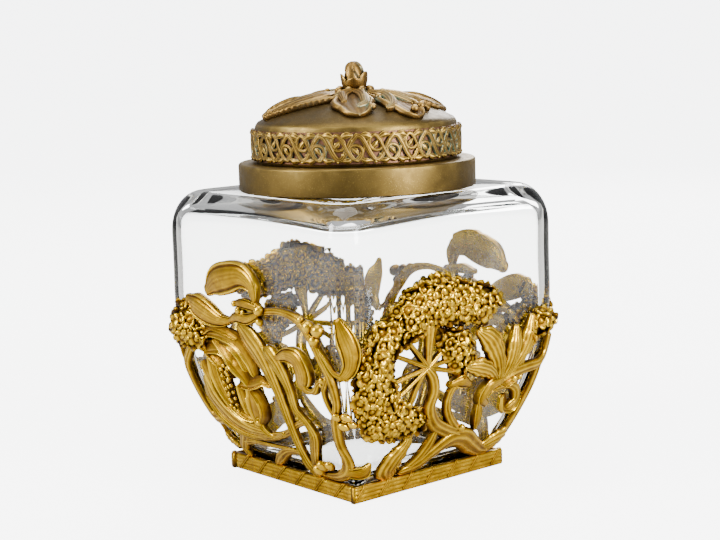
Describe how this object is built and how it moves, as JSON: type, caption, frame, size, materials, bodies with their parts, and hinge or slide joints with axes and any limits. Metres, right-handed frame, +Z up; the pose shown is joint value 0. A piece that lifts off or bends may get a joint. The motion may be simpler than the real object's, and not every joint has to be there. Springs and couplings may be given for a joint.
{
  "type": "mounted glass inkwell",
  "caption": "Square bellied clear glass inkwell with a hinged round brass lid, a plain collar, pierced gilt flower mounts and a reeded base frame.",
  "frame": {"origin": "middle of the foot, on the surface it stands on", "axes": "+Z up through the bud on the lid, -Y towards the orchid panel, +X towards the umbel panel, lid hinge at +Y"},
  "size_m": [0.0982, 0.096, 0.13],
  "materials": {
    "glass": "polished clear moulded glass",
    "gilt": "gilt bronze, bright on the high spots and brown in the recesses",
    "old_brass": "aged brass, olive brown with green and pink patches",
    "plaster": "dull bedding plaster",
    "pin_steel": "dull drawn wire"
  },
  "bodies": {
    "well": {"glass_body": "glass", "base_rail_front": "gilt", "base_rail_right": "gilt", "base_rail_back": "gilt", "base_rail_left": "gilt", "orchid_panel_front": "gilt", "umbel_panel_right": "gilt", "orchid_panel_back": "gilt", "umbel_panel_left": "gilt", "collar": "old_brass", "collar_cement": "plaster", "inner_rim": "old_brass", "hinge_leaf_fixed": "old_brass", "hinge_pin": "pin_steel", "hinge_rivets_collar": "old_brass"},
    "lid": {"lid_shell": "old_brass", "lid_band": "old_brass", "hinge_leaf_lid": "old_brass", "hinge_rivets_lid": "old_brass", "lid_flower_front": "old_brass", "lid_leaf_left": "old_brass", "lid_leaf_right": "old_brass", "lid_flower_back": "old_brass", "finial": "old_brass", "finial_nut": "old_brass"}
  },
  "joints": [
    {"name": "lid_hinge", "type": "hinge", "parent": "well", "child": "lid", "pos_m": [0, 0.0349, 0.1014], "axis": [-1, 0, 0], "range_deg": [0, 100]}
  ]
}
